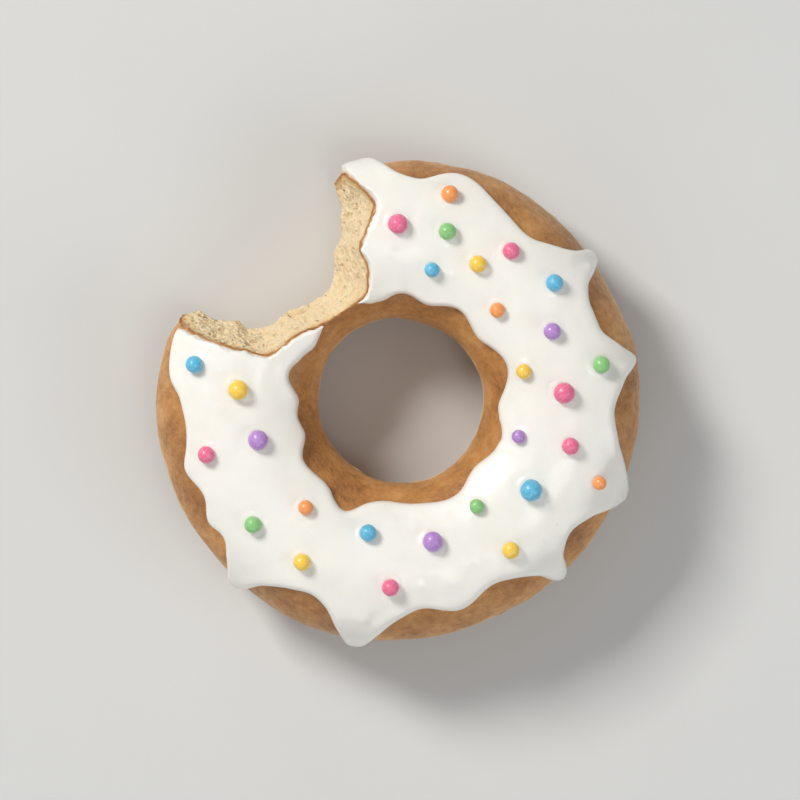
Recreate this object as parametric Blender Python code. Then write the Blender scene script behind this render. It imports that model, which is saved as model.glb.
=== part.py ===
"""A bitten ring doughnut at its real size, in metres, +Z up.

It is two solids: the fried dough ring, and the set icing that lies over its crown and runs down
its outer side in lobes. Both start as torus primitives whose points are moved on to the
doughnut's own section, and one bite-shaped cutter is taken out of both.

The origin is on the axis of the hole, at the level of the flat base. Bearings are in degrees,
seen from above, with 0 along +X and 90 along +Y. The bite is on the -X +Y side.
"""

import bisect
import math

import bmesh
import bpy

MM = 0.001

# The dough ring.
RIM_RADIUS = 44.9 * MM
HOLE_RADIUS = 15.3 * MM
CROWN_HEIGHT = 27.0 * MM
WIDEST_HEIGHT = 12.5 * MM
BELLY_DEPTH = 13.5 * MM  # below the widest level, before the base flattens it
SECTION_POWER = 2.25  # 2 is an ellipse, and more is squarer
DOUGH_STEPS = (100, 24)  # round the ring, round the section

# Unevenness of hand-cut, proved dough: (waves round the ring, bearing of a crest, height).
RIM_WAVES = ((1, 199, 0.35 * MM), (2, 36, 0.33 * MM), (4, 83, 0.18 * MM), (6, 5, 0.15 * MM))
HOLE_WAVES = ((2, 140, 0.15 * MM), (3, 10, 0.15 * MM))
CROWN_WAVES = ((1, 60, 0.25 * MM), (3, 250, 0.20 * MM))

# The bite pinches the rim beside each of its two ends: (bearing, how far in).
PINCHES = ((107.5, 1.8 * MM), (160.0, 1.0 * MM))
PINCH_SPREAD = 3.0  # degrees

# The icing. Each edge is a wavy line through points: bearing, then the turn round the dough's
# section in degrees, where 0 is the widest level, 90 the crown and 180 the hole. An outer lobe
# with a turn below 0 hangs past the widest level.
ICING_THICKNESS = 1.62 * MM
ICING_GAP = 0.38 * MM  # between the two faceted solids
ICING_STEPS = (160, 16)
EDGE_BLUNTNESS = 0.4  # power of the sine that shapes the icing's rounded edge
EDGE_STEP = 0.5  # degrees, for measuring along its outer edge
OUTER_EDGE = (
    (5, 42.0), (10, 22.0), (14, 39.0), (20, 53.5), (26, 53.0), (31, 45.0), (33.7, 20.0),
    (34.7, 2.0), (37, -8.0), (39.1, 2.0), (39.7, 20.0), (41, 35.0), (45, 47.0), (52, 57.5),
    (62, 50.0), (76, 32.0), (85, 44.5), (90, 39.0), (94.4, 16.0), (95.8, 2.0), (98.5, -6.0),
    (104, 4.0), (125, 20.0), (163, 29.0), (170, 33.0), (175, 38.0), (180, 49.5), (187, 53.5),
    (192, 51.0), (198, 43.0), (206, 50.5), (213, 40.0), (217.5, 44.0), (222, 31.0),
    (224.8, 14.0), (225.6, 0.0), (228, -10.0), (230.2, 0.0), (231.1, 14.0), (234, 38.0),
    (240, 51.5), (245, 55.5), (250, 49.5), (254, 30.0), (256.2, 10.0), (256.9, -8.0),
    (259.5, -18.0), (262.0, -8.0), (262.8, 10.0), (265, 30.0), (270, 48.0), (276, 56.0),
    (286, 48.0), (297, 58.0), (303, 52.0), (308, 38.0), (309.8, 19.0), (310.7, 10.0),
    (312.5, 5.0), (314.3, 10.0), (315.2, 19.0), (317, 38.0), (322.5, 48.0), (328, 40.0),
    (333.2, 12.0), (334.2, -6.0), (337, -16.0), (339.7, -6.0), (340.9, 12.0), (345.5, 33.0),
    (350, 45.5), (357, 53.0),
)
INNER_EDGE = (
    (18, 126), (38, 136), (57, 128), (75, 136), (89, 129), (101, 136), (111, 133),
    (120, 130), (132, 130), (140, 134), (148, 136.5), (156, 131), (167, 124), (180, 136),
    (189, 133), (199, 136.5), (213, 124), (228, 127), (243, 117), (252, 130), (263, 135.5),
    (280, 132), (298, 127), (318, 136), (338, 129), (356, 140),
)

# The bite, round the middle of the mouth. Its lower lip and its upper rim are tooth lines:
# bearing from the mouth, then reach. Past their two ends the mouth is open.
MOUTH = (-34.5 * MM, 37.6 * MM)
OPEN_MOUTH = (140, 22.0 * MM)
LIP_LINE = (
    (9, 22.7 * MM), (-9, 24.0 * MM), (-15, 24.4 * MM), (-22, 24.4 * MM), (-37, 27.3 * MM),
    (-52, 25.9 * MM), (-58, 25.3 * MM), (-66, 25.8 * MM), (-76, 25.2 * MM), (-81, 23.0 * MM),
    (-89, 22.9 * MM), (-99, 21.6 * MM), (-107, 23.0 * MM),
)
RIM_LINE = (
    (9, 26.3 * MM), (-3, 29.6 * MM), (-10, 29.0 * MM), (-19, 28.3 * MM), (-24, 30.8 * MM),
    (-34, 33.5 * MM), (-42, 32.9 * MM), (-53, 30.7 * MM), (-60, 29.8 * MM), (-70, 30.5 * MM),
    (-80, 28.4 * MM), (-95, 26.2 * MM), (-104, 25.7 * MM),
)
LIP_HEIGHT = 8.0 * MM
RIM_HEIGHT = 25.0 * MM
WALL_POWER = 0.8  # below 1, the upper teeth leave a steep wall over a ledge
UNDERCUT = 2.0 * MM  # how far the lower teeth reach in under the lip
ICING_SETBACK = 0.3 * MM  # the icing breaks off this far behind the dough
CUTTER_STEPS = (90, 8)  # round the mouth, up its wall
CUTTER_MARGIN = 3.0 * MM  # past the base and past the icing

CRUST_COLOUR = (0.50, 0.235, 0.07, 1)
ICING_COLOUR = (0.86, 0.83, 0.77, 1)


def degrees_apart(bearing, other):
    """The signed angle from one bearing to another, within half a turn."""
    return (bearing - other + 180) % 360 - 180


def waves_at(waves, bearing):
    """The sum of some cosine waves round the ring."""
    return sum(
        height * math.cos(math.radians(count * (bearing - crest)))
        for count, crest, height in waves
    )


def line_slope(before, here, after):
    """The slope at one of three successive points: level where the line turns there, and
    otherwise the harmonic mean of the slopes on its two sides."""
    first = (here[1] - before[1]) / ((here[0] - before[0]) % 360)
    second = (after[1] - here[1]) / ((after[0] - here[0]) % 360)
    return 2 * first * second / (first + second) if first * second > 0 else 0.0


def wavy_line(points, bearing):
    """A smooth closed line through (bearing, value) points, which turns back only at them."""
    points = sorted((place % 360, value) for place, value in points)
    bearing %= 360
    end = next((i for i, point in enumerate(points) if point[0] > bearing), 0)
    around = [points[(end + offset) % len(points)] for offset in (-2, -1, 0, 1)]
    (start, first), (stop, last) = around[1:3]
    width = (stop - start) % 360
    share = ((bearing - start) % 360) / width
    leaving = line_slope(*around[:3]) * width
    arriving = line_slope(*around[1:]) * width
    level = first + (last - first) * share**2 * (3 - 2 * share)
    lean = leaving * share * (1 - share) ** 2 - arriving * share**2 * (1 - share)
    return level + lean


def rim_radius(bearing):
    """The dough's outer radius at its widest level, pinched beside the bite."""
    pinch = sum(
        depth * math.exp(-((degrees_apart(bearing, place) / PINCH_SPREAD) ** 2))
        for place, depth in PINCHES
    )
    return RIM_RADIUS + waves_at(RIM_WAVES, bearing) - pinch


def powered(cosine, reach):
    """One coordinate of a superellipse, which reaches this far at a cosine of 1."""
    return math.copysign(reach * abs(cosine) ** (2 / SECTION_POWER), cosine)


def skin_point(bearing, turn):
    """(radius, height) of the dough's skin. turn runs round the section in degrees: 0 is the
    rim, 90 the crown, 180 the hole and 270 the base, where the skin is flattened at height 0."""
    rim = rim_radius(bearing)
    hole = HOLE_RADIUS + waves_at(HOLE_WAVES, bearing)
    across = math.cos(math.radians(turn))
    rise = math.sin(math.radians(turn))
    crown = CROWN_HEIGHT + waves_at(CROWN_WAVES, bearing) - WIDEST_HEIGHT
    height = WIDEST_HEIGHT + powered(rise, crown if rise > 0 else BELLY_DEPTH)
    return (rim + hole) / 2 + powered(across, (rim - hole) / 2), max(height, 0.0)


def lifted_point(bearing, turn, lift):
    """(radius, height) of a point that stands this far off the skin, square to its section."""
    ahead, behind = skin_point(bearing, turn + 1), skin_point(bearing, turn - 1)
    along = (ahead[0] - behind[0], ahead[1] - behind[1])
    length = math.hypot(*along)
    radius, height = skin_point(bearing, turn)
    return radius + lift * along[1] / length, height - lift * along[0] / length


def icing_point(bearing, turn):
    """(radius, height) on the icing. turn runs round its thin section: 0 is the outer edge,
    0 to 180 the top, 180 the inner edge, and 180 to 360 the underside. The top's points lie
    closer together near both edges, which are round, and the underside's lie evenly."""
    outer = wavy_line(OUTER_EDGE, bearing)
    inner = wavy_line(INNER_EDGE, bearing)
    top = turn < 180
    share = (1 + math.cos(math.radians(turn))) / 2 if top else turn / 180 - 1
    rise = math.sin(math.radians(turn)) if top else 0.0
    lift = ICING_GAP + ICING_THICKNESS * max(rise, 0.0) ** EDGE_BLUNTNESS
    return lifted_point(bearing, inner + (outer - inner) * share, lift)


def even_along_edge(count):
    """Bearings all round the ring that are evenly spaced along the icing's outer edge, so that
    they come closer together down the sides of each lobe."""
    bearings = [EDGE_STEP * i for i in range(round(360 / EDGE_STEP) + 1)]
    turns = [wavy_line(OUTER_EDGE, bearing) for bearing in bearings]
    section_radius = (RIM_RADIUS - HOLE_RADIUS) / 2
    lengths = [0.0]
    for before, after in zip(turns, turns[1:]):
        step = math.hypot(RIM_RADIUS * EDGE_STEP, section_radius * (after - before))
        lengths.append(lengths[-1] + step)
    spaced = []
    for i in range(count):
        length = lengths[-1] * i / count
        at = bisect.bisect_right(lengths, length) - 1
        share = (length - lengths[at]) / (lengths[at + 1] - lengths[at])
        spaced.append(bearings[at] + EDGE_STEP * share)
    return spaced


def bite_reach(bearing, height, setback):
    """How far the bite reaches from the middle of the mouth, at a bearing and a height."""
    lip = wavy_line((*LIP_LINE, OPEN_MOUTH), bearing)
    rim = wavy_line((*RIM_LINE, OPEN_MOUTH), bearing)
    if height > LIP_HEIGHT:
        climb = (height - LIP_HEIGHT) / (RIM_HEIGHT - LIP_HEIGHT)
        return lip + (rim - lip) * climb**WALL_POWER + setback
    return lip + UNDERCUT * (1 - height / LIP_HEIGHT) ** 2 + setback


def material(name, colour, roughness):
    made = bpy.data.materials.new(name)
    made.use_nodes = True
    shader = made.node_tree.nodes["Principled BSDF"]
    shader.inputs["Base Color"].default_value = colour
    shader.inputs["Roughness"].default_value = roughness
    made.diffuse_color = colour
    return made


def move_to(obj, collection):
    for holder in list(obj.users_collection):
        holder.objects.unlink(obj)
    collection.objects.link(obj)


def ring(name, bearings, steps, section, collection, finish):
    """A torus primitive with one loop of points at each bearing. Each of a loop's points is
    moved to where section(bearing, turn) puts it."""
    bpy.ops.mesh.primitive_torus_add(major_segments=len(bearings), minor_segments=steps)
    made = bpy.context.active_object
    made.name = made.data.name = name
    for vertex in made.data.vertices:
        bearing = bearings[vertex.index // steps]
        radius, height = section(bearing, 360 * (vertex.index % steps) / steps)
        angle = math.radians(bearing)
        vertex.co = (radius * math.cos(angle), radius * math.sin(angle), height)
    made.data.shade_smooth()
    made.data.materials.append(finish)
    move_to(made, collection)
    return made


def bite_cutter(name, setback, collection):
    """A cylinder round the mouth, subdivided in height, whose wall is moved to the tooth lines."""
    low, high = -CUTTER_MARGIN, CROWN_HEIGHT + ICING_THICKNESS + CUTTER_MARGIN
    shape = bmesh.new()
    bmesh.ops.create_cone(
        shape, cap_ends=True, segments=CUTTER_STEPS[0], radius1=1, radius2=1, depth=high - low
    )
    upright = [edge for edge in shape.edges if edge.verts[0].co.z * edge.verts[1].co.z < 0]
    bmesh.ops.subdivide_edges(shape, edges=upright, cuts=CUTTER_STEPS[1] - 1, use_grid_fill=True)
    for vertex in shape.verts:
        bearing = math.degrees(math.atan2(vertex.co.y, vertex.co.x))
        height = vertex.co.z + (low + high) / 2
        reach = bite_reach(bearing, height, setback)
        vertex.co.x = MOUTH[0] + reach * math.cos(math.radians(bearing))
        vertex.co.y = MOUTH[1] + reach * math.sin(math.radians(bearing))
        vertex.co.z = height
    mesh = bpy.data.meshes.new(name)
    shape.to_mesh(mesh)
    shape.free()
    made = bpy.data.objects.new(name, mesh)
    made.hide_render = True
    made.display_type = "WIRE"
    collection.objects.link(made)
    return made


def cut(obj, cutter):
    modifier = obj.modifiers.new("bite", "BOOLEAN")
    modifier.operation = "DIFFERENCE"
    modifier.object = cutter


def main():
    for obj in list(bpy.data.objects):
        bpy.data.objects.remove(obj)
    doughnut = bpy.data.collections.new("bitten_doughnut")
    cutters = bpy.data.collections.new("cutters")
    for collection in (doughnut, cutters):
        bpy.context.scene.collection.children.link(collection)

    crust = material("fried_crust", CRUST_COLOUR, 0.55)
    even = [360 * i / DOUGH_STEPS[0] for i in range(DOUGH_STEPS[0])]
    dough = ring("dough", even, DOUGH_STEPS[1], skin_point, doughnut, crust)
    cut(dough, bite_cutter("dough_bite", 0.0, cutters))

    sugar = material("sugar_icing", ICING_COLOUR, 0.3)
    spaced = even_along_edge(ICING_STEPS[0])
    icing = ring("icing", spaced, ICING_STEPS[1], icing_point, doughnut, sugar)
    cut(icing, bite_cutter("icing_bite", ICING_SETBACK, cutters))


main()
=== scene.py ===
# %% [markdown]
# # A bitten ring doughnut
#
# A ring of fried yeast dough lies flat, with set white icing over its top and sugar pearls on
# the icing. One bite is gone from its rim. The plain solids come in first, as a fixed frame that
# gives every place and size. Each step then makes one piece or one finish of the real food.

# %% The frame
import itertools

import bpy
import numpy as np
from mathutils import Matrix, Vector


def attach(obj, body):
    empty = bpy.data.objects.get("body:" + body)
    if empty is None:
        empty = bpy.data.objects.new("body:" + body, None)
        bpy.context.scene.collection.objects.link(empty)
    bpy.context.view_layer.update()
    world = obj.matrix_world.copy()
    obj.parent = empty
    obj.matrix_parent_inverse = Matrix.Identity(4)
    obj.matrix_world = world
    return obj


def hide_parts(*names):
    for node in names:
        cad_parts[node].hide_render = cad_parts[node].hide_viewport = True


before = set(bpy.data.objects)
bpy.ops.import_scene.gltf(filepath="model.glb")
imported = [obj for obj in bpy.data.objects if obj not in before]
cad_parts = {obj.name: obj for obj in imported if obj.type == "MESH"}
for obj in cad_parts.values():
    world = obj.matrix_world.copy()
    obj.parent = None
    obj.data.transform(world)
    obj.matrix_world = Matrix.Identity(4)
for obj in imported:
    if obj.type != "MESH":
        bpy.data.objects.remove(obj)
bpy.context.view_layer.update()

MM = 0.001


# %% [markdown]
# ## Wavy lines
#
# Both edges of the icing and both tooth lines of the bite are wavy closed lines. Each could be a
# curve object, but the grids below need their values at thousands of bearings at once, so a line
# is a few named points and one function that runs a smooth curve through them.


# %% A smooth line through a few points
def wavy_line(points, bearing):
    """The value at each bearing, in degrees, of a closed line through (bearing, value) points.

    Between two points the line is a cubic. Its slope at a point is the harmonic mean of the
    straight slopes on its two sides, or level where the line turns back there."""
    table = np.array(sorted((place % 360, value) for place, value in points))
    places = np.concatenate((table[-2:, 0] - 360, table[:, 0], table[:2, 0] + 360))
    values = np.concatenate((table[-2:, 1], table[:, 1], table[:2, 1]))
    straight = np.diff(values) / np.diff(places)
    before, after = straight[:-1], straight[1:]
    same_way = before * after > 0
    mean = 2 * before * after / np.where(same_way, before + after, 1)
    slopes = np.concatenate(([0], np.where(same_way, mean, 0), [0]))
    at = np.asarray(bearing, float) % 360
    i = np.searchsorted(places, at, side="right") - 1
    width = places[i + 1] - places[i]
    t = (at - places[i]) / width
    level = values[i] + (values[i + 1] - values[i]) * t**2 * (3 - 2 * t)
    return level + width * (slopes[i] * t * (1 - t) ** 2 - slopes[i + 1] * t**2 * (1 - t))


def ease(value, start, end):
    """0 before start, 1 after end, and 3 t^2 - 2 t^3 of the share t between them."""
    t = np.clip((value - start) / (end - start), 0, 1)
    return t * t * (3 - 2 * t)


# %% [markdown]
# ## Unevenness
#
# Dough and icing are uneven at several scales. Blender's Displace modifier could add it, but the
# cut faces have to know where the uneven skin is, so one noise function gives it to all of them.


# %% Smooth noise in space
rng = np.random.default_rng(20)
LEANS = rng.normal(size=(32, 32, 32, 3))
LEANS /= np.linalg.norm(LEANS, axis=-1, keepdims=True)


def lumps(points, size, seed=0):
    """Gradient noise, about -1 to 1, with lumps of this size in mm.

    Each corner of a cubic lattice has a random direction. A point's value is the mean of its
    offset from the eight corners round it along their directions, weighted by an eased share."""
    place = points / size + seed * 5.17
    corner = np.floor(place).astype(int)
    offset = place - corner
    share = offset**3 * (offset * (offset * 6 - 15) + 10)
    total = np.zeros(points.shape[:-1])
    for step in itertools.product((0, 1), repeat=3):
        weight = np.prod(np.where(step, share, 1 - share), axis=-1)
        at = (corner + step) % 32
        lean = LEANS[at[..., 0], at[..., 1], at[..., 2]]
        total += weight * np.sum(lean * (offset - step), axis=-1)
    return total * 1.6


# %% [markdown]
# ## The dough's skin
#
# The dough is a ring with a rounded, slightly squared section that its own weight has flattened
# underneath. A torus primitive with a Subdivision Surface would be too regular. Here the skin is
# a function of two angles: the bearing round the ring, and the turn round the section.

# %% The section of the ring, in mm
RIM_RADIUS = 44.9
HOLE_RADIUS = 15.3
CROWN_HEIGHT = 27.0
WIDEST_HEIGHT = 12.5
BELLY_DEPTH = 13.5
SECTION_POWER = 2.25
RIM_WAVES = ((1, 199, 0.35), (2, 36, 0.33), (4, 83, 0.18), (6, 5, 0.15))
HOLE_WAVES = ((2, 140, 0.15), (3, 10, 0.15))
CROWN_WAVES = ((1, 60, 0.25), (3, 250, 0.20))
PINCHES = ((107.5, 1.8), (160.0, 1.0))
PINCH_SPREAD = 3.0


def waves_at(waves, bearing):
    """The sum of cosine waves round the ring: (count, bearing of a crest, height)."""
    return sum(high * np.cos(np.radians(count * (bearing - crest))) for count, crest, high in waves)


def section_sizes(bearing):
    """The section's middle radius, its half width, and its rise to the crown, in mm. The rim is
    pinched in on a bell curve beside each end of the bite."""
    rim = RIM_RADIUS + waves_at(RIM_WAVES, bearing)
    for place, depth in PINCHES:
        apart = (bearing - place + 180) % 360 - 180
        rim = rim - depth * np.exp(-((apart / PINCH_SPREAD) ** 2))
    hole = HOLE_RADIUS + waves_at(HOLE_WAVES, bearing)
    rise = CROWN_HEIGHT + waves_at(CROWN_WAVES, bearing) - WIDEST_HEIGHT
    return (rim + hole) / 2, (rim - hole) / 2, rise


def skin(bearing, turn):
    """Radius and height of the skin. Each is a cosine or sine of the turn, raised to 2 over the
    section's power with its sign kept, times its reach. The base is cut flat at height 0."""
    middle, half, rise = section_sizes(bearing)
    across, up = np.cos(np.radians(turn)), np.sin(np.radians(turn))
    radius = middle + half * np.sign(across) * np.abs(across) ** (2 / SECTION_POWER)
    reach = np.where(up > 0, rise, BELLY_DEPTH)
    height = WIDEST_HEIGHT + reach * np.sign(up) * np.abs(up) ** (2 / SECTION_POWER)
    return radius, np.maximum(height, 0.0)


def off_skin(bearing, turn, lift):
    """Points this far off the skin in mm, square to the section: rows x columns x 3. The square
    direction is a quarter turn from the line between the skin just behind and just ahead."""
    (radius_on, height_on), (radius_back, height_back) = skin(bearing, turn + 1), skin(bearing, turn - 1)
    along_r, along_h = radius_on - radius_back, height_on - height_back
    length = np.hypot(along_r, along_h)
    radius, height = skin(bearing, turn)
    radius, height = radius + lift * along_h / length, height - lift * along_r / length
    angle = np.radians(bearing)
    return np.stack((radius * np.cos(angle), radius * np.sin(angle), height), axis=-1)


def polar(points):
    """Bearing in degrees, radius and height of points."""
    bearing = np.degrees(np.arctan2(points[..., 1], points[..., 0]))
    return bearing, np.hypot(points[..., 0], points[..., 1]), points[..., 2]


def skin_place(points):
    """The bearing and turn of the skin nearest each point, and how deep under it the point lies,
    negative outside. The turn undoes the section's formula. The depth is the distance from the
    section's middle to the skin, less that to the point, or the height where that is less."""
    bearing, radius, height = polar(points)
    middle, half, rise = section_sizes(bearing)
    out, up = radius - middle, height - WIDEST_HEIGHT
    across = np.abs(out / half)
    along = np.abs(up / np.where(up > 0, rise, BELLY_DEPTH))
    share = (across**SECTION_POWER + along**SECTION_POWER) ** (1 / SECTION_POWER)
    power = SECTION_POWER / 2
    turn = np.degrees(np.arctan2(np.sign(up) * along**power, np.sign(out) * across**power)) % 360
    depth = np.hypot(out, up) * (1 / np.maximum(share, 1e-6) - 1)
    return bearing, turn, np.minimum(depth, height)


print("skin at bearing 0:", [tuple(np.round(skin(0.0, turn), 1)) for turn in (0, 90, 180, 270)])

# %% [markdown]
# ## The crust's relief
#
# Proved dough is lumpy, frying raises small blisters on it, and the pale line round its waist,
# which never lay in the fat, is drawn in a little. Sculpting could do it. Noise that is read at
# each point's own place gives the same lumps wherever they are asked for.


# %% How far the crust stands out, in mm
BROAD = ((15.0, 0.42), (6.5, 0.20), (2.6, 0.055))
BLISTER_GRID, BLISTER_HEIGHT = 5.2, 0.85
LEAST_WIDTH, MORE_WIDTH, STRAYING, EMPTY_BELOW = 0.18, 0.20, 0.35, 0.1
FURROW_DEPTH, FURROW_WIDTH = 0.15, 1.7
SWAY_SIZE, SWAY_HEIGHT = 18.0, 1.5
DENT_SIZE, DENT_DEPTH, DENTS_ABOVE = 8.0, 0.9, 0.1
DENTS_UP_TO, CRUST_FROM = 0.3, 3.0


def blisters(points):
    """Low domes. Space is cut into cubes, and some hold one dome at a random place, with a random
    width. A dome's height falls as 1 - (distance / width)^2, squared."""
    place = points / BLISTER_GRID
    cube = np.floor(place).astype(int)
    high = np.zeros(points.shape[:-1])
    for step in itertools.product((-1, 0, 1), repeat=3):
        home = cube + step
        at = home % 32
        chance = LEANS[at[..., 0], at[..., 1], at[..., 2]]
        width = LEAST_WIDTH + MORE_WIDTH * np.abs(chance[..., 2])
        distance = np.linalg.norm(place - home - 0.5 - STRAYING * chance, axis=-1) / width
        dome = np.clip(1 - distance**2, 0, 1) ** 2 * width * (chance[..., 0] > EMPTY_BELOW)
        high = np.maximum(high, dome)
    return high


def crust_relief(points):
    """Lumps at three sizes, blisters, and a shallow furrow that sways about the widest level. On
    the base only dents are left, so that the dough still rests flat."""
    _, _, height = polar(points)
    from_widest = height - WIDEST_HEIGHT + SWAY_HEIGHT * lumps(points, SWAY_SIZE, 3)
    relief = sum(high * lumps(points, size, seed) for seed, (size, high) in enumerate(BROAD))
    furrow = FURROW_DEPTH * np.exp(-((from_widest / FURROW_WIDTH) ** 2))
    relief = relief + BLISTER_HEIGHT * blisters(points) - furrow
    dents = -DENT_DEPTH * np.maximum(lumps(points, DENT_SIZE, 5) - DENTS_ABOVE, 0)
    return dents + (relief - dents) * ease(height, DENTS_UP_TO, CRUST_FROM)


# %% [markdown]
# ## Grids into meshes
#
# Every piece is a grid of points that is closed on itself: a ring wraps round both ways, and a
# ball or a plug wraps one way and is closed at two poles. One helper turns such grids into a mesh.


# %% A closed mesh from grids of points
def closed_mesh(name, grids, ring=False):
    """A mesh from a stack of grids in mm: grids x rows x columns x 3. Quads join each point to
    its neighbours, with the last column joined to the first. The last row joins the first on a
    ring. Otherwise triangles close each end row on to its mean point."""
    count, rows, columns, _ = grids.shape
    index = np.arange(count * rows * columns).reshape(count, rows, columns)
    beside = np.roll(index, -1, axis=2)
    quads = np.stack((index, beside, np.roll(beside, -1, axis=1), np.roll(index, -1, axis=1)), axis=-1)
    points = grids.reshape(-1, 3)
    faces = quads if ring else quads[:, :-1]
    faces = faces.reshape(-1, 4).tolist()
    if not ring:
        pole = len(points) + np.arange(count)[:, None] + np.zeros(columns, int)
        low = np.stack((beside[:, 0], index[:, 0], pole), axis=-1)
        high = np.stack((index[:, -1], beside[:, -1], pole + count), axis=-1)
        points = np.concatenate((points, grids[:, 0].mean(axis=1), grids[:, -1].mean(axis=1)))
        faces += low.reshape(-1, 3).tolist() + high.reshape(-1, 3).tolist()
    mesh = bpy.data.meshes.new(name)
    mesh.from_pydata(points * MM, [], faces)
    mesh.shade_smooth()
    piece = bpy.data.objects.new(name, mesh)
    bpy.context.scene.collection.objects.link(piece)
    return piece


def points_of(piece):
    """A piece's points in mm, as an array."""
    flat = np.zeros(len(piece.data.vertices) * 3, np.float32)
    piece.data.vertices.foreach_get("co", flat)
    return flat.reshape(-1, 3).astype(float) / MM


def set_attribute(piece, name, values, kind="FLOAT"):
    """Stores a number, or a colour, on each point of a piece."""
    field = "color" if kind == "FLOAT_COLOR" else "value"
    attribute = piece.data.attributes.new(name, kind, "POINT")
    attribute.data.foreach_set(field, np.ascontiguousarray(values, np.float32).ravel())


def describe(piece):
    """Prints a piece's size and volume. A positive volume means that its faces point outwards."""
    mesh = piece.data
    mesh.calc_loop_triangles()
    corners = np.zeros(len(mesh.loop_triangles) * 3, np.int32)
    mesh.loop_triangles.foreach_get("vertices", corners)
    points = points_of(piece)
    a, b, c = (points[corners.reshape(-1, 3)[:, i]] for i in range(3))
    volume = np.sum(np.cross(a, b) * c) / 6000
    size = np.round(np.ptp(points, axis=0), 1)
    print(piece.name, len(mesh.loop_triangles), "triangles,", size, "mm,", round(volume, 2), "cm3")


# %% [markdown]
# ## The whole ring of dough
#
# The ring is made whole first, and bitten afterwards, as in life. Its rows lie close together
# where the crust shows and far apart under the icing and on the flat base, where nothing is seen.

# %% Dough grid
DOUGH_ROWS, DOUGH_COLUMNS = 102, 450
UNDER_ICING, ON_TABLE = (66, 112), (252, 288)
HIDDEN_SHARE = 0.4


def spaced(weights, count):
    """Places, as shares of the whole, that split a list of weights into this many equal sums."""
    total = np.concatenate(([0], np.cumsum(weights)))
    return np.interp(np.arange(count) / count * total[-1], total, np.linspace(0, 1, len(total)))


fine_turns = np.arange(0, 360, 0.5)
section = np.stack(skin(0.0, np.append(fine_turns, 360.0)), axis=-1)
step_lengths = np.linalg.norm(np.diff(section, axis=0), axis=-1)
in_ranges = [(fine_turns > start) & (fine_turns < end) for start, end in (UNDER_ICING, ON_TABLE)]
hidden = np.any(in_ranges, axis=0)
turns = 360 * spaced(step_lengths * np.where(hidden, HIDDEN_SHARE, 1.0), DOUGH_ROWS)
bearings = np.arange(DOUGH_COLUMNS) * 360 / DOUGH_COLUMNS
bearing_grid, turn_grid = np.meshgrid(bearings, turns)
smooth_skin = off_skin(bearing_grid, turn_grid, 0.0)
crust_points = off_skin(bearing_grid, turn_grid, crust_relief(smooth_skin))
dough = closed_mesh("dough_ring", crust_points[None], ring=True)
describe(dough)

# %% [markdown]
# ## The bite
#
# A bite is not a clean scoop. The upper teeth come down steeply through the icing, the lower
# teeth come up from underneath, and the dough tears where they meet, in a lip that stands out
# furthest. A plug with that wall is taken away from the ring with a Boolean.

# %% The wall of the bite, in mm
MOUTH = np.array((-34.5, 37.6))
OPEN_MOUTH = (140, 22.0)
LIP_LINE = (
    (9, 22.7), (-9, 24.0), (-15, 24.4), (-22, 24.4), (-37, 27.3), (-52, 25.9), (-58, 25.3),
    (-66, 25.8), (-76, 25.2), (-81, 23.0), (-89, 22.9), (-99, 21.6), (-107, 23.0), OPEN_MOUTH,
)
RIM_LINE = (
    (9, 26.3), (-3, 29.6), (-10, 29.0), (-19, 28.3), (-24, 30.8), (-34, 33.5), (-42, 32.9),
    (-53, 30.7), (-60, 29.8), (-70, 30.5), (-80, 28.4), (-95, 26.2), (-104, 25.7), OPEN_MOUTH,
)
LIP_HEIGHT = 8.0
RIM_HEIGHT = 25.0
WALL_POWER = 0.8
UNDERCUT = 2.0
TEAR = ((5.5, 0.30, 11), (2.3, 0.28, 12), (1.0, 0.16, 13))
PORE_ROOM = 0.30


def bite_reach(bearing, height):
    """How far the smooth wall lies from the mouth's middle. Above the lip it goes from the lip
    line to the rim line with the climb, raised to a power. Below, it falls back as a parabola."""
    lip, rim = wavy_line(LIP_LINE, bearing), wavy_line(RIM_LINE, bearing)
    climb = np.maximum(height - LIP_HEIGHT, 0) / (RIM_HEIGHT - LIP_HEIGHT)
    below = np.maximum(1 - height / LIP_HEIGHT, 0)
    return lip + (rim - lip) * climb**WALL_POWER + UNDERCUT * below**2


def wall_points(bearing, height, reach):
    """Points at a bearing, height and reach from the mouth's middle."""
    angle = np.radians(bearing)
    x, y = MOUTH[0] + reach * np.cos(angle), MOUTH[1] + reach * np.sin(angle)
    return np.stack((x, y, height), axis=-1)


def torn(points):
    """How far the tear wanders from the smooth wall, in mm: lumps at three sizes, less a little
    for the open pores, which only ever eat into the dough."""
    return sum(high * lumps(points, size, seed) for size, high, seed in TEAR) - PORE_ROOM


# %% [markdown]
# ## The crumb
#
# Yeast dough is a foam. Where it tears, its round pores lie open, large ones among many small
# ones, and thin walls stand between them. A bump map would look printed on, so the pores are cut
# into the wall as real hollows: each point of the wall sinks to the far side of every open pore.

# %% Open pores
PORE_LAYERS = (
    (6.0, 1.4, 2.6, 0.42, 1),
    (3.4, 0.9, 1.6, 0.72, 2),
    (2.0, 0.5, 0.95, 0.85, 3),
    (1.15, 0.28, 0.52, 0.8, 4),
)
PORE_FLATNESS = 1.25
DEEPEST_PORE = 4.2
PORES_FROM, PORES_WHOLE = 0.5, 2.4
CHANCES = rng.random((32, 32, 32, 5))
TURNS = np.linalg.qr(rng.normal(size=(5, 3, 3)))[0]


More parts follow.
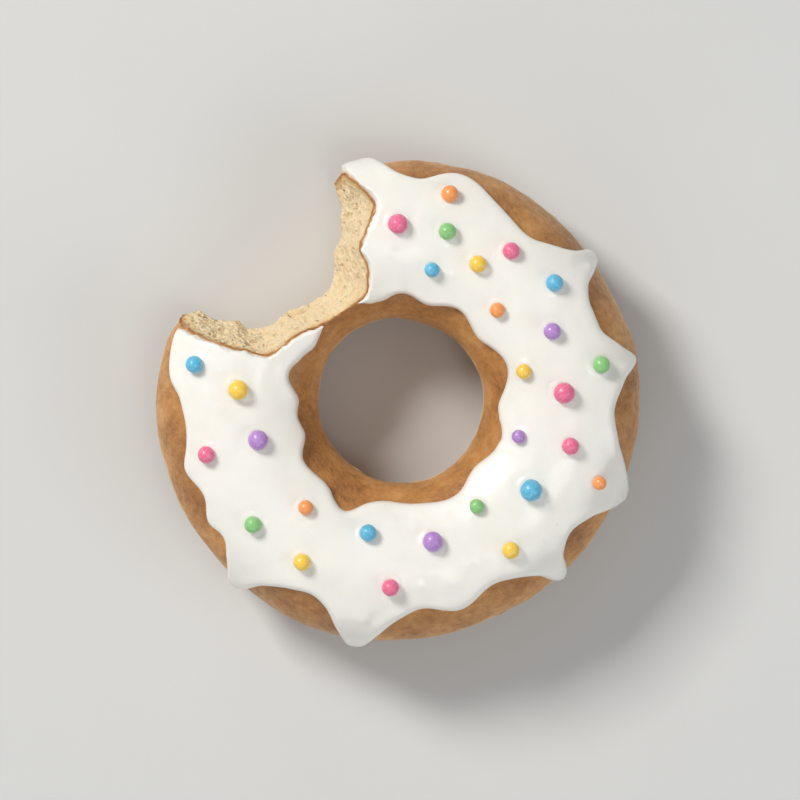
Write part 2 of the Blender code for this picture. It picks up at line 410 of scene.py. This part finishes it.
def open_pores(points, inward, depth, layer):
    """The depth of each point of a torn face after one layer of pores opens.

    A layer is a lattice of cubes: their size, the least and greatest radius of a pore, the share
    of cubes that hold one, and a seed. Heights are stretched first, so that the pores come out a
    little flat, as risen dough settles, and the lattice is turned, so that no rows of pores show.
    A level line, whose length the stretch doesn't change, runs inward from each point. Where it
    enters a pore no deeper than the face already is there, the face sinks to where it leaves."""
    size, least, greatest, share, seed = layer
    flat = (points * (1, 1, PORE_FLATNESS)) @ TURNS[seed]
    inward = inward @ TURNS[seed]
    cube = np.floor(flat / size + seed * 3.7).astype(int)
    start_depth = depth.copy()
    for step in itertools.product((-1, 0, 1), repeat=3):
        home = cube + step
        at = home % 32
        chance = CHANCES[at[..., 0], at[..., 1], at[..., 2]]
        middle = (home + 0.5 + 0.9 * (chance[..., :3] - 0.5) - seed * 3.7) * size
        radius = least + (greatest - least) * chance[..., 3] ** 2
        away = middle - flat
        along = np.sum(away * inward, axis=-1)
        inside = radius**2 - (np.sum(away**2, axis=-1) - along**2)
        half = np.sqrt(np.maximum(inside, 0))
        opened = (inside > 0) & (along - half < start_depth) & (chance[..., 4] < share)
        depth = np.where(opened, np.maximum(depth, along + half), depth)
    return np.minimum(depth, DEEPEST_PORE)


def crumb_depth(points, inward):
    """How deep the crumb's face lies behind the torn wall: every layer of pores in turn, largest
    first, closed up towards the skin, where the dough is dense."""
    depth = np.zeros(points.shape[:-1])
    for layer in PORE_LAYERS:
        depth = open_pores(points, inward, depth, layer)
    return depth * ease(skin_place(points)[2], PORES_FROM, PORES_WHOLE)


# %% Bite the dough
FINE_BEARINGS = np.linspace(-116, 19, 400)
COARSE_BEARINGS = np.linspace(19, 244, 44)[1:-1]
mouth_bearings = np.concatenate((FINE_BEARINGS, COARSE_BEARINGS))
WALL_HEIGHTS = np.concatenate(([-1.6, -0.8], np.linspace(-0.3, 29.0, 172), [30.5, 31.6]))
mouth_grid, height_grid = np.meshgrid(mouth_bearings, WALL_HEIGHTS)
smooth_reach = bite_reach(mouth_grid, height_grid)
smooth_wall = wall_points(mouth_grid, height_grid, smooth_reach)
torn_reach = smooth_reach + torn(smooth_wall)
torn_wall = wall_points(mouth_grid, height_grid, torn_reach)
level = np.zeros_like(height_grid)
inward = wall_points(mouth_grid, level, level + 1) - (*MOUTH, 0)
pore_depth = crumb_depth(torn_wall, inward)
plug = closed_mesh("bite_plug", wall_points(mouth_grid, height_grid, torn_reach + pore_depth)[None])
describe(plug)


def bite_off(piece, plug, finishes):
    """Takes the plug away from the piece. Faces that the plug leaves get the second finish."""
    piece.data.materials.append(finishes[0])
    plug.data.materials.append(finishes[1])
    cut = piece.modifiers.new("bite", "BOOLEAN")
    cut.operation, cut.solver, cut.material_mode, cut.object = "DIFFERENCE", "MANIFOLD", "TRANSFER", plug
    bitten = bpy.data.meshes.new_from_object(piece.evaluated_get(bpy.context.evaluated_depsgraph_get()))
    piece.modifiers.remove(cut)
    piece.data = bitten
    bitten.shade_smooth()
    bpy.data.objects.remove(plug)


crust_finish = bpy.data.materials.new("fried_crust")
crumb_finish = bpy.data.materials.new("crumb")
bite_off(dough, plug, (crust_finish, crumb_finish))
describe(dough)

# %% [markdown]
# ## What the finishes have to know
#
# The crust's brown fades into the crumb over about a millimetre, a deep pore is given painted shade,
# darker and warmer than the torn rim between pores, and a blister browns first. A finish can't
# measure these, and painting them by hand would be slow, so each point keeps both depths and its
# blister's height.

# %% Store the depths and the blisters on the dough
dough_points = points_of(dough)
under_crust = skin_place(dough_points)[2] + crust_relief(dough_points)
from_mouth = dough_points[:, :2] - MOUTH
mouth_bearing = np.degrees(np.arctan2(from_mouth[:, 1], from_mouth[:, 0]))
behind_wall = np.linalg.norm(from_mouth, axis=1) - bite_reach(mouth_bearing, dough_points[:, 2])
set_attribute(dough, "under_skin", under_crust)
# The depth behind the bite's smooth wall, which the crumb's finish turns into painted shade in the pores.
set_attribute(dough, "pore_depth", behind_wall)
set_attribute(dough, "blister", blisters(dough_points))
print("crumb down to", round(float(under_crust.max()), 1), "mm under the skin")

# %% [markdown]
# ## The sugar pearls' places
#
# The pearls were dropped on while the icing was wet, so each has sunk a little way in, and the
# icing has crept up round it. The icing's surface needs their places, so these come first.

# %% Where each pearl lies: bearing, reach from the axis of the hole, and diameter in mm
PEARLS = np.array((
    (2.4, 30.4, 3.9), (9.9, 37.9, 3.2), (13.0, 23.5, 2.8), (24.2, 30.9, 3.2), (37.1, 35.9, 3.2),
    (42.7, 24.5, 2.8), (53.3, 34.4, 3.2), (60.2, 29.0, 3.2), (74.3, 32.4, 3.2), (76.2, 24.8, 2.8),
    (76.4, 39.3, 3.2), (90.7, 32.6, 3.7), (170.2, 38.7, 3.2), (176.5, 30.0, 3.7), (195.8, 27.3, 3.7),
    (195.8, 37.3, 3.2), (220.3, 35.7, 3.2), (228.8, 26.5, 2.8), (238.9, 35.1, 3.2), (256.5, 25.3, 3.2),
    (267.1, 34.8, 3.2), (283.0, 26.9, 3.7), (305.8, 24.3, 2.8), (306.4, 34.6, 3.2), (325.4, 29.5, 4.1),
    (337.4, 40.1, 2.6), (342.9, 23.0, 2.6), (344.8, 32.7, 3.2),
))
PEARL_SINK = 0.22
ICING_THICKNESS = 1.75
pearl_radius = PEARLS[:, 2] / 2


def pearl_seats():
    """The middle and the foot of each pearl. Over a fine table of turns, the pearl's middle moves
    inwards as the turn grows, so the turn for its reach is read back from the table."""
    table = np.linspace(5, 175, 1200)
    lift = ICING_THICKNESS + pearl_radius * (1 - 2 * PEARL_SINK)
    bearing, turn = np.meshgrid(PEARLS[:, 0], table)
    reach = polar(off_skin(bearing, turn, lift))[1]
    seat = np.array([np.interp(r, column[::-1], table[::-1]) for r, column in zip(PEARLS[:, 1], reach.T)])
    return off_skin(PEARLS[:, 0], seat, lift), off_skin(PEARLS[:, 0], seat, ICING_THICKNESS)


pearl_middles, pearl_feet = pearl_seats()
print(len(PEARLS), "pearls, the highest middle at", round(float(pearl_middles[:, 2].max()), 1), "mm")

# %% [markdown]
# ## The icing
#
# The ring was dipped top down in thick sugar icing and turned over, and the icing ran down its
# outer side in drips of different lengths before it set. A Solidify modifier would give it the
# same thickness to a hard edge. Real icing ends in a rounded bead, so its thickness is worked out
# from how far each point lies from the icing's edge.

# %% The icing's two edges, as bearing and turn
OUTER_EDGE = (
    (5, 42.0), (10, 22.0), (14, 39.0), (20, 53.5), (26, 53.0), (31, 45.0), (33.7, 20.0),
    (34.7, 2.0), (37, -8.0), (39.1, 2.0), (39.7, 20.0), (41, 35.0), (45, 47.0), (52, 57.5),
    (62, 50.0), (76, 32.0), (85, 44.5), (90, 39.0), (94.4, 16.0), (95.8, 2.0), (98.5, -6.0),
    (104, 4.0), (125, 20.0), (163, 29.0), (170, 33.0), (175, 38.0), (180, 49.5), (187, 53.5),
    (192, 51.0), (198, 43.0), (206, 50.5), (213, 40.0), (217.5, 44.0), (222, 31.0),
    (224.8, 14.0), (225.6, 0.0), (228, -10.0), (230.2, 0.0), (231.1, 14.0), (234, 38.0),
    (240, 51.5), (245, 55.5), (250, 49.5), (254, 30.0), (256.2, 10.0), (256.9, -8.0),
    (259.5, -18.0), (262.0, -8.0), (262.8, 10.0), (265, 30.0), (270, 48.0), (276, 56.0),
    (286, 48.0), (297, 58.0), (303, 52.0), (308, 38.0), (309.8, 19.0), (310.7, 10.0),
    (312.5, 5.0), (314.3, 10.0), (315.2, 19.0), (317, 38.0), (322.5, 48.0), (328, 40.0),
    (333.2, 12.0), (334.2, -6.0), (337, -16.0), (339.7, -6.0), (340.9, 12.0), (345.5, 33.0),
    (350, 45.5), (357, 53.0),
)
INNER_EDGE = (
    (18, 126), (38, 136), (57, 128), (75, 136), (89, 129), (101, 136), (111, 133),
    (120, 130), (132, 130), (140, 134), (148, 136.5), (156, 131), (167, 124), (180, 136),
    (189, 133), (199, 136.5), (213, 124), (228, 127), (243, 117), (252, 130), (263, 135.5),
    (280, 132), (298, 127), (318, 136), (338, 129), (356, 140),
)
ICING_COLUMNS, TOP_ROWS, UNDER_ROWS = 780, 100, 8
LEAST_STEP, ROW_CROWDING = 0.05, 0.11
EDGE_LIFT, UNDER_LIFT = -0.25, -0.6
EDGE_WIDTH, EDGE_POWER = 1.5, 2.3
BEAD_HEIGHT, BEAD_PLACE, BEAD_WIDTH = 0.12, 1.6, 1.2
BEAD_SWAY, BEAD_SWAY_SIZE = 1.2, 8.0
SIDE_THINNING, THIN_TURN, THICK_TURN = 0.50, 18, 62
ICING_WAVES = ((11.0, 0.22, 21), (4.0, 0.06, 22))
COLLAR_HEIGHT, COLLAR_WIDTH = 0.20, 0.42
HIDES, HIDES_FROM, HIDES_WHOLE = 0.4, 1.0, 5.0
SOFTNESS = 2.5

fine_bearings = np.arange(0, 360, 0.25)
edge_path = off_skin(fine_bearings, wavy_line(OUTER_EDGE, fine_bearings), 0.0)
edge_steps = np.linalg.norm(np.roll(edge_path, -1, axis=0) - edge_path, axis=-1)
icing_bearings = 360 * spaced(edge_steps + LEAST_STEP, ICING_COLUMNS)
print("the outer edge is", round(float(edge_steps.sum())), "mm long")


# %% Distances from the edges
def soft_distance(points, targets, length, chunk=1500):
    """A rounded distance from each point to a dotted line, in blocks to save memory. It is the
    logarithm of the sum of exp(-distance) over all the dots, so where two stretches of the line
    are equally near, as in the middle of a drip, it turns over smoothly. It is 0 on the line."""
    squares = np.sum(targets**2, axis=-1)
    found = []
    for part in np.array_split(points, len(points) // chunk + 1):
        square = np.sum(part**2, axis=-1)[:, None] - 2 * part @ targets.T + squares
        found.append(np.exp(-SOFTNESS * np.sqrt(np.maximum(square, 0))) @ length)
    return -np.log(np.concatenate(found) * SOFTNESS / 2) / SOFTNESS


even = np.linspace(0, 1, TOP_ROWS)
across = even - ROW_CROWDING * np.sin(2 * np.pi * even)
under = np.linspace(0.98, 0.02, UNDER_ROWS)
outer_turns, inner_turns = wavy_line(OUTER_EDGE, icing_bearings), wavy_line(INNER_EDGE, icing_bearings)
top_bearings, top_across = np.meshgrid(icing_bearings, across)
top_turns = outer_turns + (inner_turns - outer_turns) * top_across
top_skin = off_skin(top_bearings, top_turns, 0.0)
dots, lengths = [], []
for edge in (OUTER_EDGE, INNER_EDGE):
    path = off_skin(icing_bearings, wavy_line(edge, icing_bearings), 0.0)
    half_way = (path + np.roll(path, -1, axis=0)) / 2
    dots += [path, half_way]
    lengths += [np.linalg.norm(half_way - np.roll(half_way, 1, axis=0), axis=-1) / 2] * 2
edge_distance = soft_distance(top_skin.reshape(-1, 3), np.concatenate(dots), np.concatenate(lengths))
edge_distance = np.maximum(edge_distance, 0).reshape(top_skin.shape[:2])
edge_distance[[0, -1]] = 0
print("the icing is at most", round(float(edge_distance.max()), 1), "mm from an edge")


# %% [markdown]
# The rounded edge is a quarter of a superellipse. The bead is a low bump on a bell curve just
# inside it. The icing is thinner where it ran down the steep side, the surface keeps a faint
# wave, and it rises to a small collar round each pearl. It hides part of the crust's lumps.


# %% Build the icing
def icing_lift(points, turn, distance):
    """The icing's thickness in mm at points of the skin: the full thickness, thinner on the
    steep side, with its bead and its waves, times the rounded edge's share, and the collars."""
    uneven = 1 + BEAD_SWAY * lumps(points, BEAD_SWAY_SIZE, 20)
    bead = BEAD_HEIGHT * uneven * np.exp(-(((distance - BEAD_PLACE) / BEAD_WIDTH) ** 2))
    full = ICING_THICKNESS + bead - SIDE_THINNING * ease(turn, THICK_TURN, THIN_TURN)
    full = full + sum(high * lumps(points, size, seed) for size, high, seed in ICING_WAVES)
    edge = (1 - np.clip(1 - distance / EDGE_WIDTH, 0, 1) ** EDGE_POWER) ** (1 / EDGE_POWER)
    collars = np.zeros_like(distance)
    for foot, radius in zip(pearl_feet, pearl_radius):
        apart = np.linalg.norm(points - foot, axis=-1)
        outside = np.maximum(apart - 0.9 * radius - 0.55 * ICING_THICKNESS, 0)
        collars = np.maximum(collars, np.exp(-((outside / COLLAR_WIDTH) ** 2)))
    return EDGE_LIFT + (full - EDGE_LIFT) * edge + COLLAR_HEIGHT * collars * edge


top_lift = icing_lift(top_skin, top_turns, edge_distance)
relief_kept = 1 - HIDES * ease(edge_distance, HIDES_FROM, HIDES_WHOLE)
top = off_skin(top_bearings, top_turns, top_lift + crust_relief(top_skin) * relief_kept)
under_bearings, under_across = np.meshgrid(icing_bearings, under)
under_turns = outer_turns + (inner_turns - outer_turns) * under_across
skin_below = off_skin(under_bearings, under_turns, 0.0)
bottom = off_skin(under_bearings, under_turns, UNDER_LIFT + crust_relief(skin_below))
icing = closed_mesh("icing_layer", np.concatenate((top, bottom))[None], ring=True)
describe(icing)

# %% [markdown]
# The icing broke off just behind the dough, and its upper edge crumbled, so its plug reaches a
# little further out than the dough's, with a finer raggedness, and flares near the top surface.

# %% Bite the icing
BREAK_HEIGHTS = np.linspace(6, 34, 120)
CRUMBLED = ((1.3, 0.16, 31), (0.6, 0.08, 32))
SETBACK = 0.32
FLARE, FLARE_FROM, FLARE_WHOLE = 0.5, 0.7, 2.4
mouth_grid, height_grid = np.meshgrid(mouth_bearings, BREAK_HEIGHTS)
smooth_reach = bite_reach(mouth_grid, height_grid)
smooth_wall = wall_points(mouth_grid, height_grid, smooth_reach)
above = -skin_place(smooth_wall)[2]
crumbled = sum(high * lumps(smooth_wall, size, seed) for size, high, seed in CRUMBLED)
setback = SETBACK + crumbled + FLARE * ease(above, FLARE_FROM, FLARE_WHOLE) ** 2
icing_reach = smooth_reach + torn(smooth_wall) + setback
icing_plug = closed_mesh("icing_plug", wall_points(mouth_grid, height_grid, icing_reach)[None])
icing_finish = bpy.data.materials.new("set_icing")
broken_finish = bpy.data.materials.new("broken_icing")
bite_off(icing, icing_plug, (icing_finish, broken_finish))
icing_points = points_of(icing)
set_attribute(icing, "thickness", -skin_place(icing_points)[2])
describe(icing)

# %% [markdown]
# ## The sugar pearls
#
# A sugar pearl is a sugar grain built up with coloured syrup in a tumbling pan, so it is nearly
# round but never quite. An icosphere for each would do. One grid of balls gives each its own
# lumps and its own colour, in one joined mesh.

# %% Pearls
BALL_ROWS, BALL_COLUMNS = 23, 40
BALLS_APART = 9.0
TINTS = np.array((
    (0.83, 0.15, 0.30), (0.94, 0.62, 0.06), (0.10, 0.48, 0.72), (0.25, 0.58, 0.20),
    (0.46, 0.24, 0.62), (0.92, 0.33, 0.08),
))
TINT_ORDER = (0, 3, 1, 4, 2, 5, 0, 1, 3, 2, 5, 0, 2, 1, 4, 0, 3, 5, 1, 2, 0, 4, 3, 1, 2, 5, 4, 0)

polar_angle = np.linspace(0, np.pi, BALL_ROWS + 2)[1:-1]
spin = np.arange(BALL_COLUMNS) * 2 * np.pi / BALL_COLUMNS
spin_grid, polar_grid = np.meshgrid(spin, polar_angle)
ball = np.stack((
    np.sin(polar_grid) * np.cos(spin_grid), np.sin(polar_grid) * np.sin(spin_grid), -np.cos(polar_grid)
), axis=-1)
apart = np.arange(len(PEARLS))[:, None, None, None] * BALLS_APART
unround = 1 + 0.030 * lumps(ball + apart, 1.1, 41) + 0.012 * lumps(ball + apart, 0.45, 42)
balls = pearl_middles[:, None, None] + ball * unround[..., None] * pearl_radius[:, None, None, None]
pearls = closed_mesh("sugar_pearls", balls)
pearl_colours = np.ones((len(PEARLS), 4))
pearl_colours[:, :3] = TINTS[np.array(TINT_ORDER)]
ball_colours = np.repeat(pearl_colours, BALL_ROWS * BALL_COLUMNS, axis=0)
set_attribute(pearls, "tint", np.concatenate((ball_colours, pearl_colours, pearl_colours)), "FLOAT_COLOR")
describe(pearls)

# %% [markdown]
# ## Finishes
#
# Every finish is a network of shader nodes. Wiring dozens of Math nodes by hand hides the idea,
# so a small class lets Python arithmetic make them, and one method makes any other node.


# %% Shader values that add up
class Wire:
    """A node's output. Arithmetic on it adds Math nodes to its material."""

    def __init__(self, tree, socket):
        self.tree, self.socket = tree, socket

    def math(self, operation, first, second=0.0):
        made = self.tree.nodes.new("ShaderNodeMath")
        made.operation = operation
        for socket, value in zip(made.inputs, (first, second)):
            if isinstance(value, Wire):
                self.tree.links.new(value.socket, socket)
            else:
                socket.default_value = value
        return Wire(self.tree, made.outputs[0])

    def __add__(self, other):
        return self.math("ADD", self, other)

    def __sub__(self, other):
        return self.math("SUBTRACT", self, other)

    def __rsub__(self, other):
        return self.math("SUBTRACT", other, self)

    def __mul__(self, other):
        return self.math("MULTIPLY", self, other)

    def __truediv__(self, other):
        return self.math("DIVIDE", self, other)

    def __abs__(self):
        return self.math("ABSOLUTE", self)

    __radd__, __rmul__ = __add__, __mul__


class Finish:
    """A material under construction, round its Principled shader."""

    def __init__(self, material, **plain):
        material.use_nodes = True
        self.tree = material.node_tree
        self.shader = self.tree.nodes["Principled BSDF"]
        for name, value in plain.items():
            self.shader.inputs[name.replace("_", " ")].default_value = value
        self.place = self.node("ShaderNodeTexCoord", out="Object")

    def node(self, kind, settings=None, values=None, out=0):
        """Any node: its settings first, then its sockets' values or wires, and one output."""
        made = self.tree.nodes.new(kind)
        for name, value in (settings or {}).items():
            if name == "stops":
                ramp = made.color_ramp
                for _ in range(len(value) - len(ramp.elements)):
                    ramp.elements.new(0.5)
                for element, (position, stop_colour) in zip(ramp.elements, value):
                    element.position, element.color = position, stop_colour
            else:
                setattr(made, name, value)
        for name, value in (values or {}).items():
            if isinstance(value, Wire):
                self.tree.links.new(value.socket, made.inputs[name])
            else:
                made.inputs[name].default_value = value
        return Wire(self.tree, made.outputs[out])

    def feed(self, **wires):
        """Links wires to the shader's sockets."""
        for name, wire in wires.items():
            self.tree.links.new(wire.socket, self.shader.inputs[name.replace("_", " ")])

    def grain(self, size, detail=2.0, roughness=0.5, seed=0.0):
        """Noise with features of this size in mm, centred on 0.5."""
        shift = {0: self.place, 1: (seed, seed, seed)}
        moved = self.node("ShaderNodeVectorMath", {"operation": "ADD"}, shift)
        values = {"Vector": moved, "Scale": 1 / (size * MM), "Detail": detail, "Roughness": roughness}
        return self.node("ShaderNodeTexNoise", None, values, "Fac")

    def cells(self, size):
        """Distance to the nearest of some scattered points, this far apart in mm."""
        values = {"Vector": self.place, "Scale": 1 / (size * MM)}
        return self.node("ShaderNodeTexVoronoi", None, values, "Distance")

    def between(self, value, start, end):
        """0 before start, 1 after end, smoothly."""
        values = {"Value": value, "From Min": start, "From Max": end}
        return self.node("ShaderNodeMapRange", {"interpolation_type": "SMOOTHSTEP"}, values)

    def ramp(self, value, *stops):
        """A colour that runs through the stops, each a value and a colour."""
        return self.node("ShaderNodeValToRGB", {"stops": stops}, {"Fac": value})

    def blend(self, share, first, second):
        """The first colour where share is 0, and the second where it is 1."""
        values = {0: share, 6: first, 7: second}
        return self.node("ShaderNodeMix", {"data_type": "RGBA"}, values, 2)

    def stored(self, name, out="Fac"):
        """What a piece's points keep under this name."""
        return self.node("ShaderNodeAttribute", {"attribute_name": name}, None, out)

    def height(self):
        """Height above the table in mm."""
        return self.node("ShaderNodeSeparateXYZ", None, {0: self.place}, 2) / MM

    def bump(self, relief, depth, under=None):
        """A normal from a relief of 0 to 1 that is this deep in mm, laid over another."""
        values = {"Height": relief, "Distance": depth * MM, "Strength": 1.0}
        if under is not None:
            values["Normal"] = under
        return self.node("ShaderNodeBump", None, values)


def colour(red, green, blue):
    """A colour from its 0 to 255 screen values, as the linear light that shaders use."""
    screen = np.array((red, green, blue)) / 255
    linear = np.where(screen > 0.04045, ((screen + 0.055) / 1.055) ** 2.4, screen / 12.92)
    return (*linear.tolist(), 1.0)


# %% [markdown]
# ## Fried crust
#
# Hot fat browns both faces of the ring and leaves a pale line round the waist, where the dough
# floated clear of it. The brown is blotchy, lighter next to that line and darker on blisters,
# finely pimpled in places, and has a faint oily coat. It could be painted. Here the height gives
# the pale line, the stored blisters the dark spots, and grains of several sizes the rest.

# %% Crust finish
crust = Finish(crust_finish, IOR=1.45, Subsurface_Weight=0.06, Subsurface_Scale=0.0012)
crust.shader.inputs["Subsurface Radius"].default_value = (1.0, 0.5, 0.2)
crust.shader.inputs["Coat Roughness"].default_value = 0.28
blotch = crust.grain(9.0, 3.0, 0.55)
speck = crust.grain(1.3, 4.0, 0.6, 0.3)
fleck = crust.grain(0.45, 2.0, 0.5, 0.7)
raised = crust.between(crust.stored("blister"), 0.04, 0.26)
waist = abs(crust.height() - WIDEST_HEIGHT + (crust.grain(16.0, 2.0, 0.5, 0.5) - 0.5) * 5.0)
in_the_fat = crust.between(waist, 2.0, 11.0)
browning = crust.ramp(
    blotch * 0.58 + speck * 0.36 + in_the_fat * 0.13 + raised * 0.10 - 0.05,
    (0.28, colour(218, 168, 106)), (0.50, colour(186, 132, 76)), (0.72, colour(142, 93, 51)),
)
dark_fleck = crust.between(fleck, 0.60, 0.72) * 0.35
browned = crust.blend(dark_fleck, browning, colour(118, 74, 40))
wander = (crust.grain(3.2, 3.0, 0.6, 0.9) - 0.5) * 3.2
away_from_waist = crust.between(waist + wander + (speck - 0.5) * 0.8, 1.0, 3.6)
pale = crust.blend(blotch, colour(242, 212, 164), colour(227, 187, 132))
resting = crust.between(crust.height() + (speck - 0.5) * 0.5, 0.35, 0.02) * 0.55
pimples = (1 - crust.between(crust.cells(1.0), 0.05, 0.55)) * crust.between(blotch, 0.42, 0.58)
fine_skin = crust.bump(fleck, 0.07, crust.bump(speck, 0.18, crust.bump(pimples, 0.09)))
crust.feed(
    Base_Color=crust.blend(resting, crust.blend(away_from_waist, pale, browned), colour(142, 92, 50)),
    Roughness=0.36 + 0.22 * speck + 0.10 * blotch,
    Coat_Weight=away_from_waist * crust.between(speck, 0.75, 0.35) * 0.25,
    Normal=fine_skin,
)

# %% [markdown]
# ## Crumb
#
# The torn inside is soft, matt and creamy, and light goes a little way into it. Pores too small
# to model are pits in a bump, and the stored depth of the modelled ones paints shade into their
# hollows, darker and warmer the deeper they go. The crumb turns to a thin brown line at the crust,
# where the stored depth under the skin is least.

# %% Crumb finish
crumb = Finish(crumb_finish, IOR=1.35, Subsurface_Weight=0.35, Subsurface_Scale=0.0013)
crumb.shader.inputs["Subsurface Radius"].default_value = (1.0, 0.65, 0.3)
patch = crumb.grain(3.5, 3.0)
strand = crumb.grain(0.55, 3.0, 0.6, 0.2)
depth_in = crumb.stored("under_skin") + (patch - 0.5) * 0.5
crumb_colour = crumb.ramp(
    depth_in / 4.0,
    (0.06, colour(160, 104, 58)), (0.16, colour(204, 158, 104)),
    (0.34, colour(225, 195, 147)), (0.80, colour(232, 209, 170)),
)
# Painted shade: the deeper a modelled pore, the more its colour goes to a darker, warmer tan, standing in
# for the shade inside it.
pore_shade_share = crumb.between(crumb.stored("pore_depth"), 0.15, 1.9)
pore_shaded_colour = crumb.blend(pore_shade_share * 0.85, crumb_colour, colour(200, 148, 94))
mottled = crumb.blend(crumb.between(patch, 0.45, 0.7) * 0.3, pore_shaded_colour, colour(238, 220, 188))
fine_pores = crumb.bump(crumb.cells(0.36), 0.10, crumb.bump(crumb.cells(0.80), 0.26))
crumb.feed(
    Base_Color=mottled,
    Roughness=0.70 + 0.2 * strand,
    Normal=crumb.bump(strand, 0.10, fine_pores),
)

# %% [markdown]
# ## Set icing
#
# Sugar icing sets with a thin dry skin: white, smooth and softly glossy, with a few pinholes where
# air came out and duller patches where sugar has begun to grain. Near its edges it is thin enough
# for the crust to tint it.

# %% Icing finishes
WHITE = colour(245, 243, 237)


def icing_look(material, roughness, coat, grain_depth):
    """White sugar with thin, tinted edges. The roughness and the coat set how it shines."""
    look = Finish(material, IOR=1.48, Subsurface_Weight=0.30, Subsurface_Scale=0.0022)
    look.shader.inputs["Subsurface Radius"].default_value = (1.0, 0.8, 0.6)
    look.shader.inputs["Coat Roughness"].default_value = 0.12
    cloud = look.grain(12.0, 3.0)
    dull = look.between(look.grain(4.5, 4.0, 0.6, 0.4), 0.40, 0.70)
    powder = look.grain(0.35, 3.0, 0.6, 0.6)
    thin = 1 - look.between(look.stored("thickness") + (cloud - 0.5) * 0.3, 0.05, 0.75)
    tinted = look.blend(cloud, WHITE, colour(236, 232, 222))
    pinholes = 1 - look.between(look.cells(4.2), 0.02, 0.06)
    look.feed(
        Base_Color=look.blend(thin * 0.55, tinted, colour(226, 196, 148)),
        Roughness=roughness + 0.16 * dull + 0.06 * powder,
        Coat_Weight=coat * (1 - dull * 0.7),
        Normal=look.bump(powder, grain_depth, look.bump(1 - pinholes, 0.05)),
    )


icing_look(icing_finish, 0.26, 0.45, 0.018)
icing_look(broken_finish, 0.55, 0.0, 0.10)

# %% [markdown]
# ## Pearl shell
#
# Each pearl has a thin glazed shell over coloured sugar, so its colour is a little mottled and
# its highlight is sharp. The colour comes from the tint stored on each ball.

# %% Pearl finish
pearl_finish = bpy.data.materials.new("pearl_shell")
pearls.data.materials.append(pearl_finish)
shell = Finish(pearl_finish, IOR=1.5, Subsurface_Weight=0.25, Subsurface_Scale=0.0008)
shell.shader.inputs["Coat Roughness"].default_value = 0.08
sugar = shell.grain(0.5, 3.0, 0.6)
tint = shell.stored("tint", "Color")
lighter = shell.blend(shell.between(sugar, 0.40, 0.80) * 0.18, tint, colour(255, 250, 244))
shell.feed(
    Base_Color=lighter,
    Roughness=0.32 + 0.18 * sugar,
    Coat_Weight=0.15 + 0.25 * sugar,
    Normal=shell.bump(sugar, 0.03),
)

# %% [markdown]
# ## Putting the pieces on the frame
#
# Each new piece rides on the one body. The dough and the icing stand for their plain solids,
# which are hidden.

# %% Pieces
for piece, node in ((dough, "dough"), (icing, "icing")):
    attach(piece, "root")
    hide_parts(node)
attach(pearls, "root")

# %% [markdown]
# ## Floor, light and camera
#
# A plain pale floor and four soft lamps show the relief without hard shadows. The camera looks
# straight down through a long lens, so that the ring shows its plan and very little of its sides.

# %% Floor
floor_mesh = bpy.data.meshes.new("floor")
FLOOR_HALF, FLOOR_LEVEL = 2.0, -0.0001
floor_mesh.from_pydata(
    [(x * FLOOR_HALF, y * FLOOR_HALF, FLOOR_LEVEL) for x, y in ((-1, -1), (1, -1), (1, 1), (-1, 1))],
    [], [(0, 1, 2, 3)],
)
floor = bpy.data.objects.new("floor", floor_mesh)
bpy.context.scene.collection.objects.link(floor)
floor_finish = bpy.data.materials.new("pale_floor")
floor_mesh.materials.append(floor_finish)
ground = Finish(floor_finish, Specular_IOR_Level=0.25)
ground.feed(
    Base_Color=ground.blend(ground.grain(60.0, 3.0), colour(206, 206, 204), colour(212, 212, 210)),
    Roughness=0.6 + 0.1 * ground.grain(5.0, 3.0),
)


# %% Lights
def lamp(name, place, size, power, tint=(1.0, 1.0, 1.0)):
    """A square soft lamp at a place in metres, aimed at the middle of the ring."""
    light = bpy.data.lights.new(name, "AREA")
    light.size, light.energy, light.color = size, power, tint
    made = bpy.data.objects.new(name, light)
    made.location = place
    made.rotation_euler = Vector(place).to_track_quat("Z", "Y").to_euler()
    bpy.context.scene.collection.objects.link(made)


lamp("key", (-0.78, 0.73, 1.02), 0.42, 18.2, (1.0, 0.98, 0.95))
lamp("top", (0.30, -0.34, 1.45), 0.45, 2.2)
lamp("fill", (1.00, -0.60, 0.75), 0.90, 4.8, (0.94, 0.97, 1.0))
lamp("front", (-0.35, -1.15, 0.60), 0.80, 2.6)
world = bpy.data.worlds.new("studio")
world.use_nodes = True
world.node_tree.nodes["Background"].inputs["Color"].default_value = (0.95, 0.97, 1.0, 1)
world.node_tree.nodes["Background"].inputs["Strength"].default_value = 0.24
bpy.context.scene.world = world
bpy.context.scene.view_settings.view_transform = "Standard"

# %% Camera
LENS, SENSOR = 400.0, 36.0
VIEW_WIDTH = 0.1494
VIEW_LEVEL = 0.0145
camera_data = bpy.data.cameras.new("camera")
camera_data.lens, camera_data.sensor_width = LENS, SENSOR
camera_data.clip_start, camera_data.clip_end = 0.01, 20.0
camera = bpy.data.objects.new("camera", camera_data)
camera.location = (0.0, 0.0, VIEW_LEVEL + VIEW_WIDTH * LENS / SENSOR)
bpy.context.scene.collection.objects.link(camera)
bpy.context.scene.camera = camera
print("camera", round(camera.location.z, 3), "m above the table")
